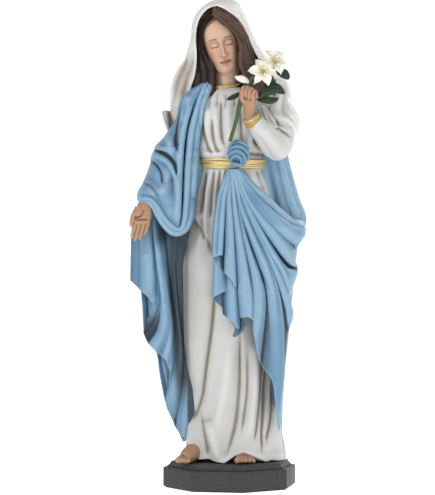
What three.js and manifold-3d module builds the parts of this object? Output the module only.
// A standing madonna statue: a cast and painted figure, in separate castings, on an octagonal base.
// Millimetres, +Z up. The origin is the middle of the felt's underside, and the figure faces -Y.
import * as THREE from "three";
import { mergeVertices } from "three/addons/utils/BufferGeometryUtils.js";
import Module from "manifold-3d";

const wasm = await Module();
wasm.setup();

// ---------------------------------------------------------------- driving dimensions
const FIGURE_HEIGHT = 577.5; // from the top of the base to the crown of the veil
const DRAWN_HEIGHT = 577.5; // the figure height that the outline tables are drawn for
const BASE_FLATS = 157; // across the flats of the octagonal block
const BASE_TURN = THREE.MathUtils.degToRad(-11.5); // the base is set turned under the figure
const BLOCK_HEIGHT = 24;
const BLOCK_EDGE = 1.2; // bevel on the block's upper edge
const LEDGE_INSET = 5; // from the block's side to the moulding's foot
const MOULDING_HEIGHT = 7.5;
const MOULDING_SLOPE = 5; // how far the moulding leans in as it rises
const FELT_THICKNESS = 1.5;
const FELT_INSET = 3;
const CAST_WALL = 9; // wall of the hollow gown casting
const PLUG_HEIGHT = 16; // the wooden disc that closes the gown's mouth
const SCREW_RADIUS = 2.5;
const SCREW_HEAD_RADIUS = 4.8;
const SCREW_HEAD_HEIGHT = 3.4;
const SCREW_BITE = 13; // how far a screw goes into the plug
const SCREW_SPACING = 56; // between the two screws
const WASHER_RADIUS = 7;
const WASHER_THICKNESS = 1.2;
const COUNTERBORE_DEPTH = 9;
const CLEARANCE = 0.3; // around pins, screws and every casting that meets another
const PIN_RADIUS = 2; // steel dowel that locates a hand in its sleeve
const PIN_LENGTH = 22;
const CORD_THICKNESS = 4.5; // how far the waist cord stands off the gown
const CORD_HEIGHT = 14;
const TRIM_RADIUS = 2.2; // the rolled trim at the neckline
const STEM_RADIUS = 2.4;

// ---------------------------------------------------------------- derived places
const size = FIGURE_HEIGHT / DRAWN_HEIGHT; // scale of every outline table
const blockTop = FELT_THICKNESS + BLOCK_HEIGHT;
const figureFloor = blockTop + MOULDING_HEIGHT;
const cornerFactor = 1 / Math.cos(Math.PI / 8); // corner radius of an octagon over its flat radius
const seatDepth = COUNTERBORE_DEPTH + WASHER_THICKNESS;

// ---------------------------------------------------------------- outline tables of the figure
// Each row is a plan oval: height, middle x, half width, middle y, reach forward, reach back.
const GOWN = [
  [0, 6, 62, 0, 49, 44],
  [16, 6, 61, 0, 47, 43],
  [60, 4, 55, 0, 42, 40],
  [130, 0, 53, 0, 40, 39],
  [200, -2, 53, 0, 40, 39],
  [270, -1, 53, 0, 39, 38],
  [318, 3, 52, 0, 36, 36],
  [345, 3, 47, 0, 33, 33],
  [368, 2, 41, 0, 28, 28],
  [386, 1, 43, 0, 31, 29],
  [412, 0, 46, 0, 36, 31],
  [432, -2, 48, 0, 35, 31],
  [450, -4, 49, 0, 29, 28],
  [461, -5, 44, 1, 24, 24],
  [468, -6, 32, 2, 20, 20],
  [473, -7, 20, 2, 17, 16],
];
const DRAPE = [
  [30, 6, 60, 0, 54, 20],
  [92, 8, 57, 0, 54, 22],
  [149, 12, 60, 0, 54, 24],
  [182, 14, 64, 0, 54, 24],
  [199, 12, 58, 0, 54, 24],
  [239, 16, 68, 0, 53, 24],
  [266, 13, 62, 0, 52, 24],
  [290, 18, 76, 0, 51, 24],
  [316, 14, 62, 0, 48, 22],
  [340, 8, 48, 0, 44, 20],
  [367, 4, 40, 0, 34, 18],
];
const MANTLE_BACK = [
  [22, 2, 58, 5, 10, 48],
  [56, -4, 64, 5, 10, 48],
  [108, -9, 73, 5, 10, 48],
  [158, -14, 84, 5, 10, 48],
  [226, -18, 94, 5, 10, 48],
  [273, -15, 96, 5, 10, 48],
  [301, -8, 98, 5, 10, 47],
  [330, -5, 85, 5, 10, 45],
  [369, -3, 74, 5, 10, 43],
  [410, -3, 66, 4, 10, 41],
  [440, -3, 60, 3, 10, 37],
  [454, -3, 50, 3, 10, 32],
];
const MANTLE_ARM = [
  [284, -62, 8, -14, 24, 10],
  [292, -63, 16, -14, 28, 20],
  [304, -70, 25, -14, 32, 30],
  [316, -78, 35, -14, 35, 36],
  [328, -79, 36, -14, 36, 38],
  [345, -72, 31, -12, 34, 40],
  [366, -67, 28, -8, 33, 38],
  [385, -65, 26, -6, 30, 36],
  [396, -61, 22, -5, 29, 34],
  [410, -56, 18, -4, 28, 32],
  [430, -54, 17, -3, 26, 30],
  [450, -51, 17, -1, 23, 25],
  [463, -47, 11, 1, 16, 16],
];
const MANTLE_LAPEL = [
  [285, -50, 5, -26, 12, 20],
  [300, -48, 8, -26, 14, 20],
  [340, -48, 9, -24, 15, 20],
  [400, -46, 9, -20, 14, 20],
  [432, -40, 10, -18, 13, 20],
  [455, -33, 9, -10, 16, 12],
  [470, -27, 6, -8, 11, 8],
];
const VEIL = [
  [418, 3, 74, 10, 24, 38],
  [428, 0, 83, 10, 24, 38],
  [440, -3, 81, 9, 24, 37],
  [455, 2, 74, 7, 26, 36],
  [470, 1, 72, 5, 28, 36],
  [488, -3, 61, 2, 26, 34],
  [503, -5, 49, -1, 24, 36],
  [525, -8.5, 38.5, -3, 24, 38],
  [547, -11.5, 32.5, -4, 24, 36],
  [561, -12, 27, -4, 22, 30],
  [570, -9, 21, -4, 16, 22],
  [575.5, -7, 12, -4, 9, 12],
  [577.5, -6.5, 4, -4, 3, 4],
];
const HAIR = [
  [468, -9, 27, -4, 18, 16],
  [488, -6, 33, -5, 20, 20],
  [505, -6, 33, -5, 22, 24],
  [525, -9, 31, -6, 24, 27],
  [545, -11, 27, -7, 24, 26],
  [558, -14, 20, -7, 20, 19],
  [565, -18, 9, -7, 9, 9],
];

// Each sole is a row of stops along the foot: x, y, height and radius.
const RIGHT_SOLE = [[-40, -20, 9, 9], [-50, -34, 10, 9.5], [-59, -44, 6.5, 7]];
const LEFT_SOLE = [[16, -20, 9, 9], [17, -36, 8.5, 9], [18, -50, 6, 8]];

// Outlines seen from the front, as x and height, that trim a form to its own edges.
const DRAPE_EDGE = [
  [-2, 366], [14, 366], [42, 330], [72, 303], [96, 297], [104, 280], [104, 60], [68, 38], [58, 36],
  [57, 92], [50, 106], [35, 128], [29, 148], [27, 176], [15, 182], [19, 171], [10, 156], [-9, 194],
  [-18, 203], [3, 218], [-19, 245], [-11, 256], [-23, 258],
];
const SIDE_FALL_EDGE = [
  [-118, 298], [-124, 273], [-124, 227], [-114, 215], [-108, 158], [-92, 136], [-88, 108], [-81, 70],
  [-76, 56], [-59, 28], [-56, 22], [-50, 27], [-56, 122], [-58, 225], [-56, 298],
];
const VEIL_OPENING = [
  [-23, 565], [-35, 553], [-40, 536], [-39, 515], [-37, 501], [-42, 482], [-49, 472], [-66, 440],
  [-66, 400], [100, 400], [64, 446], [58, 470], [46, 490], [35, 503], [27, 523], [20, 534], [8, 548],
  [-4, 559],
];
const FACE_OPENING = [
  [-23, 552], [-31, 538], [-31, 520], [-22, 500], [-14, 489], [-14, 455], [12, 455], [11, 489],
  [12, 505], [13, 522], [9, 537], [-4, 548],
];

// ---------------------------------------------------------------- solids
// A closed mesh as a manifold-3d solid, with its faces turned outwards.
function solidOf(geometry) {
  const bare = new THREE.BufferGeometry();
  bare.setAttribute("position", geometry.getAttribute("position").clone());
  if (geometry.index) bare.setIndex(geometry.index.clone());
  const merged = mergeVertices(bare, 1e-3);
  const triVerts = new Uint32Array(merged.index.array);
  const vertProperties = new Float32Array(merged.attributes.position.array);
  const made = new wasm.Manifold(new wasm.Mesh({ numProp: 3, vertProperties, triVerts }));
  if (made.volume() > 0) return made;
  for (let i = 0; i < triVerts.length; i += 3)
    [triVerts[i + 1], triVerts[i + 2]] = [triVerts[i + 2], triVerts[i + 1]];
  return new wasm.Manifold(new wasm.Mesh({ numProp: 3, vertProperties, triVerts }));
}

// A solid's surface as a geometry.
function geometryOf(solid) {
  const mesh = solid.getMesh();
  const geometry = new THREE.BufferGeometry();
  geometry.setAttribute("position", new THREE.BufferAttribute(mesh.vertProperties, 3));
  geometry.setIndex(new THREE.BufferAttribute(mesh.triVerts, 1));
  return geometry;
}

// The same solid with its skin pushed out, which cuts a clearance in a neighbour.
function grown(solid, by = CLEARANCE) {
  const cornerAllowance = 1.7;
  const geometry = geometryOf(solid);
  geometry.computeVertexNormals();
  const place = geometry.attributes.position;
  const normal = geometry.attributes.normal;
  for (let i = 0; i < place.count; i++)
    place.setXYZ(
      i,
      place.getX(i) + normal.getX(i) * by * cornerAllowance,
      place.getY(i) + normal.getY(i) * by * cornerAllowance,
      place.getZ(i) + normal.getZ(i) * by * cornerAllowance,
    );
  return solidOf(geometry);
}

// The solid without its neighbours and the clearance to them, as its one largest body.
function clearOf(solid, neighbours) {
  let left = solid;
  for (const neighbour of neighbours) left = left.subtract(grown(neighbour)).subtract(neighbour);
  return left.decompose().reduce((a, b) => (a.volume() > b.volume() ? a : b));
}

// A smooth curve through triples of values, evenly spaced in its parameter.
function smooth(triples) {
  const points = triples.map((triple) => new THREE.Vector3(...triple));
  return new THREE.CatmullRomCurve3(points, false, "catmullrom");
}

// A closed skin through rings of equal point counts, with a fan over each end.
function skinThrough(rings) {
  const around = rings[0].length;
  const positions = rings.flat().flatMap((p) => [p.x, p.y, p.z]);
  const indices = [];
  for (let level = 0; level < rings.length - 1; level++)
    for (let i = 0; i < around; i++) {
      const a = level * around + i;
      const b = level * around + ((i + 1) % around);
      indices.push(a, b, b + around, a, b + around, a + around);
    }
  [0, rings.length - 1].forEach((level) => {
    const middle = rings[level].reduce((sum, p) => sum.add(p), new THREE.Vector3());
    middle.divideScalar(around);
    const tip = positions.length / 3;
    positions.push(middle.x, middle.y, middle.z);
    for (let i = 0; i < around; i++) {
      const a = level * around + i;
      const b = level * around + ((i + 1) % around);
      indices.push(...(level === 0 ? [b, a, tip] : [a, b, tip]));
    }
  });
  const geometry = new THREE.BufferGeometry();
  geometry.setAttribute("position", new THREE.Float32BufferAttribute(positions, 3));
  geometry.setIndex(indices);
  return solidOf(geometry);
}

// A form that rises through a table of plan ovals. shrink takes a wall off it all round.
function formThrough(table, { around = 20, up = 10, shrink = 0, top = Infinity } = {}) {
  const rows = table.filter(([height]) => height <= top).map((row) => row.map((value) => value * size));
  const rise = smooth(rows.map(([z, x, half]) => [z, x, half]));
  const reach = smooth(rows.map(([, , , y, front, back]) => [y, front, back]));
  const rings = [];
  for (let j = 0; j <= up; j++) {
    const { x: z, y: middleX, z: half } = rise.getPoint(j / up);
    const { x: middleY, y: front, z: back } = reach.getPoint(j / up);
    const ring = [];
    for (let i = 0; i < around; i++) {
      const turn = (2 * Math.PI * i) / around + Math.PI;
      const depth = Math.sin(turn) < 0 ? front : back;
      const x = middleX + (half - shrink) * Math.cos(turn);
      const y = middleY + (depth - shrink) * Math.sin(turn);
      ring.push(new THREE.Vector3(x, y, z));
    }
    rings.push(ring);
  }
  return skinThrough(rings);
}

// A tapering limb along a smooth path. Each stop is x, y, z and radius; flat squeezes it front to back.
function limb(stops, { sides = 10, steps = 8, flat = 1 } = {}) {
  const path = new THREE.CatmullRomCurve3(stops.map(([x, y, z]) => new THREE.Vector3(x, y, z)));
  const radii = smooth(stops.map(([, , , radius], i) => [i, radius, 0]));
  const frames = path.computeFrenetFrames(steps, false);
  const rings = [];
  for (let j = 0; j <= steps; j++) {
    const centre = path.getPoint(j / steps);
    const radius = radii.getPoint(j / steps).y;
    const ring = [];
    for (let i = 0; i < sides; i++) {
      const turn = (2 * Math.PI * i) / sides;
      const arm = frames.normals[j].clone().multiplyScalar(Math.cos(turn) * radius);
      arm.addScaledVector(frames.binormals[j], Math.sin(turn) * radius);
      arm.y *= flat;
      ring.push(centre.clone().add(arm).multiplyScalar(size));
    }
    rings.push(ring);
  }
  return skinThrough(rings);
}

// A rounded lump: middle, half sizes, and its turn about each axis in degrees.
function lump([x, y, z], [rx, ry, rz], [ax, ay, az] = [0, 0, 0], segments = 10) {
  const ball = new THREE.SphereGeometry(1, segments, Math.round(segments * 0.7));
  ball.scale(rx * size, ry * size, rz * size);
  ball.rotateX(THREE.MathUtils.degToRad(ax));
  ball.rotateY(THREE.MathUtils.degToRad(ay));
  ball.rotateZ(THREE.MathUtils.degToRad(az));
  ball.translate(x * size, y * size, z * size);
  return solidOf(ball);
}

// A front outline pushed through from front to back, between two depths.
function windowThrough(outline, front, back) {
  const shape = new THREE.Shape(outline.map(([x, z]) => new THREE.Vector2(x * size, z * size)));
  const block = new THREE.ExtrudeGeometry(shape, { depth: (back - front) * size, bevelEnabled: false });
  block.rotateX(Math.PI / 2);
  block.translate(0, back * size, 0);
  return solidOf(block);
}

// A turned piece about the vertical through x, y, from a profile of radius and height pairs.
function turned(profile, { x = 0, y = 0, segments = 16, phase = 0 } = {}) {
  const outline = profile.map(([radius, height]) => new THREE.Vector2(radius, height));
  const lathe = new THREE.LatheGeometry(outline, segments, phase);
  lathe.rotateX(Math.PI / 2);
  lathe.translate(x, y, 0);
  return solidOf(lathe);
}

function disc(radius, low, high, place = {}) {
  return turned([[0, low], [radius, low], [radius, high], [0, high]], place);
}

function joined(...solids) {
  return solids.reduce((a, b) => a.add(b));
}

// ---------------------------------------------------------------- the base
// An octagonal slab from a profile of flat-to-flat radius and height pairs, with a flat facing forward.
function octagon(profile) {
  const corners = profile.map(([flat, height]) => [flat * cornerFactor, height]);
  return turned(corners, { segments: 8, phase: Math.PI / 8 });
}

// Where the screws stand, for a part that is itself turned by the given angle against the screws.
function screwPlaces(turn = 0) {
  return [-1, 1].map((side) => ({
    x: (side * SCREW_SPACING * Math.cos(turn)) / 2,
    y: (side * SCREW_SPACING * Math.sin(turn)) / 2,
  }));
}

function drilled(solid, radius, low, high, turn = 0) {
  return screwPlaces(turn).reduce((left, spot) => left.subtract(disc(radius, low, high, spot)), solid);
}

function baseBlock() {
  const flat = BASE_FLATS / 2;
  const slab = octagon([
    [0, FELT_THICKNESS],
    [flat - BLOCK_EDGE / 2, FELT_THICKNESS],
    [flat, FELT_THICKNESS + BLOCK_EDGE / 2],
    [flat, blockTop - BLOCK_EDGE],
    [flat - BLOCK_EDGE, blockTop],
    [0, blockTop],
  ]);
  const seat = FELT_THICKNESS + seatDepth;
  const counterbored = drilled(slab, WASHER_RADIUS + CLEARANCE, FELT_THICKNESS - 1, seat);
  return drilled(counterbored, SCREW_RADIUS + CLEARANCE, seat - 1, blockTop + 1);
}

function baseMoulding() {
  const foot = BASE_FLATS / 2 - LEDGE_INSET;
  const slab = octagon([
    [0, blockTop],
    [foot, blockTop],
    [foot, blockTop + MOULDING_HEIGHT * 0.2],
    [foot - MOULDING_SLOPE * 0.3, blockTop + MOULDING_HEIGHT * 0.3],
    [foot - MOULDING_SLOPE * 0.45, blockTop + MOULDING_HEIGHT * 0.7],
    [foot - MOULDING_SLOPE * 0.75, blockTop + MOULDING_HEIGHT * 0.9],
    [foot - MOULDING_SLOPE, figureFloor],
    [0, figureFloor],
  ]);
  return drilled(slab, SCREW_RADIUS + CLEARANCE, blockTop - 1, figureFloor + 1);
}

function feltPad() {
  const flat = BASE_FLATS / 2 - FELT_INSET;
  return octagon([[0, 0], [flat, 0], [flat, FELT_THICKNESS], [0, FELT_THICKNESS]]);
}

function washer(place) {
  const top = FELT_THICKNESS + seatDepth;
  const ring = disc(WASHER_RADIUS, top - WASHER_THICKNESS, top, place);
  return ring.subtract(disc(SCREW_RADIUS + CLEARANCE, 0, top + 1, place));
}

function screw(place) {
  const seat = FELT_THICKNESS + COUNTERBORE_DEPTH;
  const tip = figureFloor + SCREW_BITE;
  const rounding = SCREW_HEAD_HEIGHT * 0.4;
  return turned(
    [
      [0, seat - SCREW_HEAD_HEIGHT],
      [SCREW_HEAD_RADIUS - rounding, seat - SCREW_HEAD_HEIGHT],
      [SCREW_HEAD_RADIUS, seat - SCREW_HEAD_HEIGHT + rounding],
      [SCREW_HEAD_RADIUS, seat],
      [SCREW_RADIUS, seat],
      [SCREW_RADIUS, tip - SCREW_RADIUS * 2],
      [0, tip],
    ],
    place,
  );
}

// ---------------------------------------------------------------- the figure's castings
const gownForm = formThrough(GOWN, { around: 24, up: 15 });

function headForm() {
  const skull = lump([-12, -3, 529], [25, 30, 29], [0, -12, 0], 12);
  const face = lump([-9, -13, 514], [19, 21, 25], [0, -14, 0], 12);
  const neckAndTenon = limb(
    [[-7, 3, 446, 11.5], [-7, 2, 462, 13.5], [-5, 1, 478, 14.5], [-4, -2, 496, 14.5], [-6, -4, 512, 15]],
    { sides: 10, steps: 5 },
  );
  return joined(skull, face, neckAndTenon);
}

// The gown without the room inside it, which is open at the hem.
function hollowed(form) {
  const room = formThrough(GOWN, { around: 16, up: 7, shrink: CAST_WALL, top: 432 });
  const belowHem = [[-4, 6, 62, 0, 49, 44], ...GOWN];
  const mouth = formThrough(belowHem, { around: 16, up: 2, shrink: CAST_WALL, top: 16 });
  return form.subtract(room).subtract(mouth);
}

function footPlugForm() {
  const room = formThrough(GOWN, { around: 16, up: 7, shrink: CAST_WALL + CLEARANCE * 2, top: 432 });
  const slice = room.intersect(disc(BASE_FLATS, 0, PLUG_HEIGHT));
  return drilled(slice, SCREW_RADIUS + CLEARANCE, -1, SCREW_BITE + 1, BASE_TURN);
}

// A bare foot: a tapering sole and a row of toes from the great toe to the little one.
function footForm(sole, heel, greatToe, littleToe) {
  const count = 5;
  const toes = [];
  for (let i = 0; i < count; i++) {
    const share = i / (count - 1);
    const tip = greatToe.map((value, axis) => value + (littleToe[axis] - value) * share);
    const root = heel.map((value, axis) => tip[axis] + (value - tip[axis]) * 0.45);
    toes.push(limb([[...root, 4.4 - share * 1.2], [...tip, 3.8 - share * 1.3]], { sides: 6, steps: 1 }));
  }
  const foot = joined(limb(sole, { sides: 8, steps: 4 }), ...toes);
  return foot.intersect(disc(BASE_FLATS, 0, FIGURE_HEIGHT));
}

function waistCordForm() {
  const middle = 372;
  const half = CORD_HEIGHT / 2 / size;
  const [, x, width, y, front, back] = GOWN.find(([height]) => height === 368);
  const band = [-1, -0.5, 0.5, 1].map((level) => {
    const stand = (CORD_THICKNESS * (Math.abs(level) < 1 ? 1 : 0.6)) / size + 1;
    return [middle + half * level, x, width + stand, y, front + stand, back + stand];
  });
  return formThrough(band, { around: 24, up: 3 });
}

// A rolled trim that dips at the front of the neck.
function necklineForm() {
  const count = 16;
  const stops = [];
  for (let i = 0; i < count; i++) {
    const turn = (2 * Math.PI * i) / count;
    const dip = 7 * Math.max(0, -Math.sin(turn));
    const stop = new THREE.Vector3(-7 + 19.5 * Math.cos(turn), 2 + 18 * Math.sin(turn), 475 - dip);
    stops.push(stop.multiplyScalar(size));
  }
  const path = new THREE.CatmullRomCurve3(stops, true);
  return solidOf(new THREE.TubeGeometry(path, 20, TRIM_RADIUS, 6, true));
}

function hairForm() {
  return formThrough(HAIR, { around: 16, up: 8 }).subtract(windowThrough(FACE_OPENING, -60, -10));
}

function veilForm() {
  return formThrough(VEIL, { around: 22, up: 12 }).subtract(windowThrough(VEIL_OPENING, -60, -6));
}

function leftSleeveForm() {
  const upper = limb(
    [[44, 4, 452, 15], [56, -4, 432, 19], [61, -16, 408, 19.5], [60, -22, 389, 16]],
    { sides: 12, steps: 6 },
  );
  const lower = limb(
    [[63, -20, 392, 17], [55, -30, 397, 18], [42, -40, 409, 15], [29, -48.5, 423, 10.5]],
    { sides: 12, steps: 6 },
  );
  return joined(upper, lower);
}

function leftCuffForm() {
  return limb(
    [[31, -46.5, 419.5, 11.5], [28, -49, 424, 12.2], [25, -51, 428.5, 11]],
    { sides: 12, steps: 2 },
  );
}

// The raised hand, closed round the lily's stem.
function leftHandForm() {
  const wrist = limb(
    [[30, -47.5, 420, 6.2], [24, -51, 432, 6.6], [25, -51, 444, 8]],
    { sides: 8, steps: 4 },
  );
  const palm = lump([25.5, -51, 452], [9, 6.5, 11], [0, -6, 0], 8);
  const fingers = [0, 1, 2, 3].map((i) => {
    const x = 17.5 + i * 4.6;
    const top = 464 - i * 2.3;
    const stops = [
      [x + 3, -51, top - 6, 3.4],
      [x, -57, top, 3.2],
      [x - 1.5, -60, top - 6, 2.9],
      [x - 1, -57, top - 11, 2.4],
    ];
    return limb(stops, { sides: 6, steps: 3 });
  });
  const thumb = limb(
    [[19, -50, 444, 3.6], [13.5, -56, 452, 3.2], [15, -58, 462, 2.6]],
    { sides: 6, steps: 3 },
  );
  return joined(wrist, palm, thumb, ...fingers);
}

// The lowered hand, open with its palm forward.
function rightHandForm() {
  const wrist = limb(
    [[-97, -30, 335, 8], [-104, -38, 324, 8.4], [-107, -43, 314, 9]],
    { sides: 8, steps: 4, flat: 0.8 },
  );
  const palm = lump([-109, -45, 304], [11, 5.5, 13], [8, 10, 0], 8);
  const lengths = [24, 29, 28, 21];
  const fingers = lengths.map((length, i) => {
    const root = -117 + i * 5.4;
    const stops = [
      [root, -45, 300, 3.6],
      [root - 1, -47.5, 300 - length / 2, 3.3],
      [root - 1.5, -49, 300 - length, 2.3],
    ];
    return limb(stops, { sides: 6, steps: 2 });
  });
  const thumb = limb(
    [[-114, -43, 312, 4], [-121, -47, 303, 3.5], [-123, -50, 293, 2.5]],
    { sides: 6, steps: 3 },
  );
  return joined(wrist, palm, thumb, ...fingers);
}

// A steel dowel through the middle of a wrist, along the way the hand comes off.
function dowelForm([x, y, z], direction) {
  const along = new THREE.Vector3(...direction).normalize();
  const middle = new THREE.Vector3(x, y, z).multiplyScalar(size);
  const pin = new THREE.CylinderGeometry(PIN_RADIUS, PIN_RADIUS, PIN_LENGTH, 12);
  pin.applyQuaternion(new THREE.Quaternion().setFromUnitVectors(new THREE.Vector3(0, 1, 0), along));
  pin.translate(middle.x, middle.y, middle.z);
  return solidOf(pin);
}

function frontDrapeForm() {
  return formThrough(DRAPE, { around: 24, up: 12 }).intersect(windowThrough(DRAPE_EDGE, -90, 26));
}

function sideFallForm() {
  const slab = [[18, -80, 60, -8, 20, 16], [160, -80, 60, -8, 22, 16], [299, -80, 60, -8, 24, 16]];
  return formThrough(slab, { around: 16, up: 4 }).intersect(windowThrough(SIDE_FALL_EDGE, -40, 12));
}

// ---------------------------------------------------------------- the lilies
function stemForm() {
  const radius = STEM_RADIUS / size;
  const stops = [
    [0, -50, 398, radius],
    [8, -52, 424, radius],
    [14.5, -54, 448, radius],
    [22, -54, 468, radius],
    [34, -54, 480, radius],
  ];
  return limb(stops, { sides: 8, steps: 12 });
}

function budForm() {
  return limb(
    [[22, -55, 470, 1.6], [17, -56, 473, 3.8], [11, -56, 476, 3.2], [6, -56, 478, 0.8]],
    { sides: 8, steps: 6 },
  );
}

// Six petals about a short trumpet, facing forward, then tilted and turned. up is the angle of the
// first petal.
function flowerForm([x, y, z], reach, tilt, turn, up) {
  const petalCount = 6;
  const parts = [lump([0, 0, 0], [3.6, 5, 3.6], [0, 0, 0], 6)];
  for (let i = 0; i < petalCount; i++) {
    const angle = up + (360 / petalCount) * i;
    const radians = THREE.MathUtils.degToRad(angle);
    const along = reach * 0.52;
    const middle = [Math.cos(radians) * along, i % 2 ? -2.2 : -0.8, Math.sin(radians) * along];
    parts.push(lump(middle, [reach * 0.55, 1.5, reach * 0.26], [0, -angle, 0], 6));
  }
  const open = joined(...parts).rotate([tilt, 0, turn]);
  return open.translate([x * size, y * size, z * size]);
}

// ---------------------------------------------------------------- assembly
const finishes = {
  base: { color: 0x3f3f42, roughness: 0.45, metalness: 0 },
  felt: { color: 0x1d1d1f, roughness: 1, metalness: 0 },
  steel: { color: 0xb4b6b8, roughness: 0.35, metalness: 1 },
  wood: { color: 0xb08d5c, roughness: 0.8, metalness: 0 },
  white: { color: 0xdcdad4, roughness: 0.5, metalness: 0 },
  blue: { color: 0x86b0cc, roughness: 0.45, metalness: 0 },
  gold: { color: 0xa08a4e, roughness: 0.35, metalness: 0.8 },
  skin: { color: 0xc39a7c, roughness: 0.5, metalness: 0 },
  hair: { color: 0x32241e, roughness: 0.5, metalness: 0 },
  leaf: { color: 0x243a26, roughness: 0.5, metalness: 0 },
  petal: { color: 0xe8e4da, roughness: 0.5, metalness: 0 },
};
const paint = Object.fromEntries(
  Object.entries(finishes).map(([name, look]) => [name, new THREE.MeshStandardMaterial(look)]),
);

const statue = new THREE.Group();
const base = new THREE.Group();
base.rotation.z = BASE_TURN;
const figure = new THREE.Group();
figure.position.z = figureFloor;
statue.add(base, figure);

function place(group, name, solid, finish) {
  const piece = new THREE.Mesh(geometryOf(solid), paint[finish]);
  piece.name = name;
  group.add(piece);
}

// Adds a piece of the figure, cut clear of the full forms of the pieces that it meets.
const forms = {};
function cast(name, finish, form, neighbours = []) {
  forms[name] = form;
  place(figure, name, clearOf(form, neighbours.map((other) => forms[other])), finish);
}

place(base, "felt_pad", feltPad(), "felt");
place(base, "base_block", baseBlock(), "base");
place(base, "base_moulding", baseMoulding(), "base");
screwPlaces().forEach((spot, i) => {
  place(base, `screw_washer_${i + 1}`, washer(spot), "steel");
  place(base, `base_screw_${i + 1}`, screw(spot), "steel");
});

cast("right_foot", "skin", footForm(RIGHT_SOLE, [-50, -32, 7], [-63, -54, 5], [-49, -53, 4]));
cast("left_foot", "skin", footForm(LEFT_SOLE, [18, -40, 7], [9, -61, 5], [30, -55, 4]));
cast("foot_plug", "wood", footPlugForm(), ["right_foot", "left_foot"]);
cast("head_and_neck", "skin", headForm());
cast("gown_casting", "white", hollowed(gownForm), ["head_and_neck", "right_foot", "left_foot"]);
forms.gown_casting = gownForm; // what meets the gown is cut by its outside, not by the room in it
cast("waist_cord", "gold", waistCordForm(), ["gown_casting"]);
cast("neckline_trim", "gold", necklineForm(), ["gown_casting", "head_and_neck"]);
cast("hair", "hair", hairForm(), ["head_and_neck", "gown_casting", "neckline_trim"]);
cast("veil", "white", veilForm(), ["hair", "head_and_neck", "gown_casting", "neckline_trim"]);

cast("right_hand_pin", "steel", dowelForm([-102, -36, 328], [-7, -8, -11]));
cast("left_hand_pin", "steel", dowelForm([30, -47.5, 421], [-6, -3.5, 12]));
cast("right_hand", "skin", rightHandForm(), ["right_hand_pin"]);
cast("lily_stem", "leaf", stemForm());
cast("left_hand", "skin", leftHandForm(), ["left_hand_pin", "lily_stem"]);
const raisedHand = ["left_hand", "left_hand_pin", "lily_stem"];
cast("left_sleeve", "white", leftSleeveForm(), ["gown_casting", "veil", ...raisedHand]);
cast("left_cuff", "gold", leftCuffForm(), ["left_sleeve", ...raisedHand]);

const gownParts = ["gown_casting", "waist_cord"];
const headParts = ["head_and_neck", "neckline_trim", "hair", "veil"];
const loweredHand = ["right_hand", "right_hand_pin"];
const lapel = formThrough(MANTLE_LAPEL, { around: 10, up: 8 });
const arm = formThrough(MANTLE_ARM, { around: 16, up: 11 });
const back = formThrough(MANTLE_BACK, { around: 20, up: 10 });
const knot = lump([10.5, -33, 383], [13, 11, 12.5], [0, 0, 0], 12);
cast("mantle_lapel", "blue", lapel, [...gownParts, ...headParts]);
cast("mantle_right_arm", "blue", arm, ["mantle_lapel", ...gownParts, ...headParts, ...loweredHand]);
cast("front_drape", "blue", frontDrapeForm(), gownParts);
const armParts = ["mantle_right_arm", "mantle_lapel", ...loweredHand];
cast("mantle_side_fall", "blue", sideFallForm(), [...armParts, "gown_casting"]);
const frontParts = ["front_drape", "mantle_side_fall", "left_sleeve"];
cast("mantle_back", "blue", back, [...gownParts, ...headParts, ...armParts, ...frontParts]);
cast("drape_knot", "blue", knot, [...gownParts, "front_drape", "lily_stem"]);

const behindLilies = ["left_hand", "left_sleeve", "left_cuff", "lily_stem", "gown_casting", ...headParts];
const lilyFront = flowerForm([40, -62, 482], 17, -8, 10, 175);
const lilyRear = flowerForm([54, -51, 495], 17, -14, 24, 60);
cast("lily_front", "petal", lilyFront, behindLilies);
cast("lily_rear", "petal", lilyRear, ["lily_front", ...behindLilies]);
cast("lily_bud", "petal", budForm(), ["lily_front", ...behindLilies]);

// Each leaf: name, middle, half sizes, and turns in degrees.
const leaves = [
  ["lily_leaf_round", [66, -47, 482], [8, 3, 7.5], [0, 0, 10]],
  ["lily_leaf_large", [51, -51, 460], [17, 3.2, 8], [10, -8, 6]],
  ["lily_leaf_low", [46, -49, 449], [13, 3, 5], [0, 4, 4]],
  ["lily_leaf_upper", [33, -46, 495], [7, 2.6, 4], [0, -20, 0]],
  ["lily_leaf_inner", [3, -51, 453], [9, 2.6, 4], [0, 25, 0]],
];
const placed = ["lily_front", "lily_rear", "lily_bud", ...behindLilies];
leaves.forEach(([name, middle, half, turns]) => {
  cast(name, "leaf", lump(middle, half, turns, 8), placed);
  placed.push(name);
});

export default statue;
